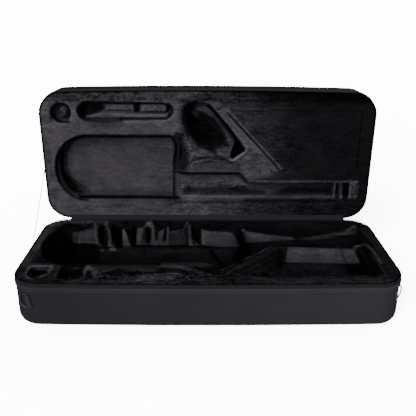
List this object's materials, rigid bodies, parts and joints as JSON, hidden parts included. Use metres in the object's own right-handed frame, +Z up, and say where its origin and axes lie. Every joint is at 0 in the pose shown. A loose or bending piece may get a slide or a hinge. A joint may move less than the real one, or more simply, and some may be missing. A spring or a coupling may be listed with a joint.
{
  "type": "tenor saxophone case",
  "caption": "Open soft-covered rectangular case with a hinged lid, plush-lined foam shaped for a tenor saxophone, a zipper, a stay cord, strap rings and a carry handle.",
  "frame": {"origin": "centre of the base's underside", "axes": "+X along the case, towards the end that holds the neck of the horn; -Y towards the opening side; +Z up"},
  "size_m": [0.8341, 0.4373, 0.4384],
  "materials": {
    "cover_nylon": "woven black nylon, matte",
    "binding_tape": "ribbed black tape with two rows of stitching",
    "zipper_tape": "woven black zipper tape",
    "zipper_coil": "black nylon coil",
    "plush": "black crushed plush over foam, with a soft sheen",
    "hinge_cloth": "blue-black tape",
    "dark_metal": "gunmetal plating, satin",
    "webbing": "ribbed black webbing",
    "moulded_black": "moulded black plastic, fine grain",
    "cord": "braided black cord"
  },
  "bodies": {
    "base": {"base_bottom_cover": "cover_nylon", "base_side_cover": "cover_nylon", "base_floor_foam": "plush", "base_wall_foam": "plush", "base_binding": "binding_tape", "base_zipper_tape": "zipper_tape", "base_zipper_coil": "zipper_coil", "base_bell_corner_block": "plush", "base_front_pocket_block": "plush", "base_front_block": "plush", "base_crook_layer": "plush", "base_rear_ledge": "plush", "base_rear_fence": "plush", "base_channel_floor": "plush", "base_channel_rib": "plush", "base_tail_wall": "plush", "base_divider": "plush", "base_compartment_floor": "plush", "base_front_rail": "plush", "base_end_block": "plush", "hinge_strip": "hinge_cloth", "hinge_lining": "hinge_cloth", "stay_cord": "cord", "stay_cord_base_tab": "webbing", "ring_tab_left": "webbing", "ring_tab_right": "webbing", "handle_anchor_left": "moulded_black", "handle_anchor_right": "moulded_black", "handle_screw_left": "dark_metal", "handle_screw_right": "dark_metal"},
    "lid": {"lid_top_cover": "cover_nylon", "lid_side_cover": "cover_nylon", "lid_top_foam": "plush", "lid_wall_foam": "plush", "lid_binding": "binding_tape", "lid_zipper_tape": "zipper_tape", "lid_zipper_coil": "zipper_coil", "lid_left_insert": "plush", "lid_bell_pad": "plush", "lid_middle_insert": "plush", "lid_right_insert": "plush", "lid_pocket_panel": "plush", "lid_inner_end_support": "plush", "lid_outer_end_support": "plush", "stay_cord_lid_tab": "webbing"},
    "ring_left": {"strap_ring_left": "dark_metal"},
    "ring_right": {"strap_ring_right": "dark_metal"},
    "handle": {"handle_bail": "dark_metal", "handle_grip": "moulded_black"},
    "slider_left": {"zipper_slider_left": "dark_metal"},
    "slider_right": {"zipper_slider_right": "dark_metal"},
    "pull_left": {"zipper_pull_left": "dark_metal"},
    "pull_right": {"zipper_pull_right": "dark_metal"}
  },
  "joints": [
    {"name": "lid_hinge", "type": "hinge", "parent": "base", "child": "lid", "pos_m": [0, 0.1645, 0.104], "axis": [1, 0, 0], "range_deg": [0, 92.1], "deforming": ["hinge_strip", "hinge_lining", "stay_cord"]},
    {"name": "ring_left_swing", "type": "hinge", "parent": "base", "child": "ring_left", "pos_m": [-0.37698, -0.16244, 0.061], "axis": [-0.2055, 0.0915, 0.9744], "range_deg": [-5, 150]},
    {"name": "ring_right_swing", "type": "hinge", "parent": "base", "child": "ring_right", "pos_m": [0.39679, -0.14858, 0.068], "axis": [0.174, 0.1681, -0.9703], "range_deg": [-5, 150]},
    {"name": "handle_swing", "type": "hinge", "parent": "base", "child": "handle", "pos_m": [0, 0.1765, 0.076], "axis": [1, 0, 0], "range_deg": [0, 110]},
    {"name": "slider_left_slide", "type": "slide", "parent": "base", "child": "slider_left", "axis": [-1, 0, 0], "range_m": [0, 0.06]},
    {"name": "slider_right_slide", "type": "slide", "parent": "base", "child": "slider_right", "axis": [1, 0, 0], "range_m": [0, 0.06]},
    {"name": "pull_left_swing", "type": "hinge", "parent": "slider_left", "child": "pull_left", "pos_m": [-0.288, 0.1685, 0.095], "axis": [0, 0, -1], "range_deg": [0, 110]},
    {"name": "pull_right_swing", "type": "hinge", "parent": "slider_right", "child": "pull_right", "pos_m": [0.288, 0.1685, 0.095], "axis": [0, 0, 1], "range_deg": [0, 110]}
  ]
}
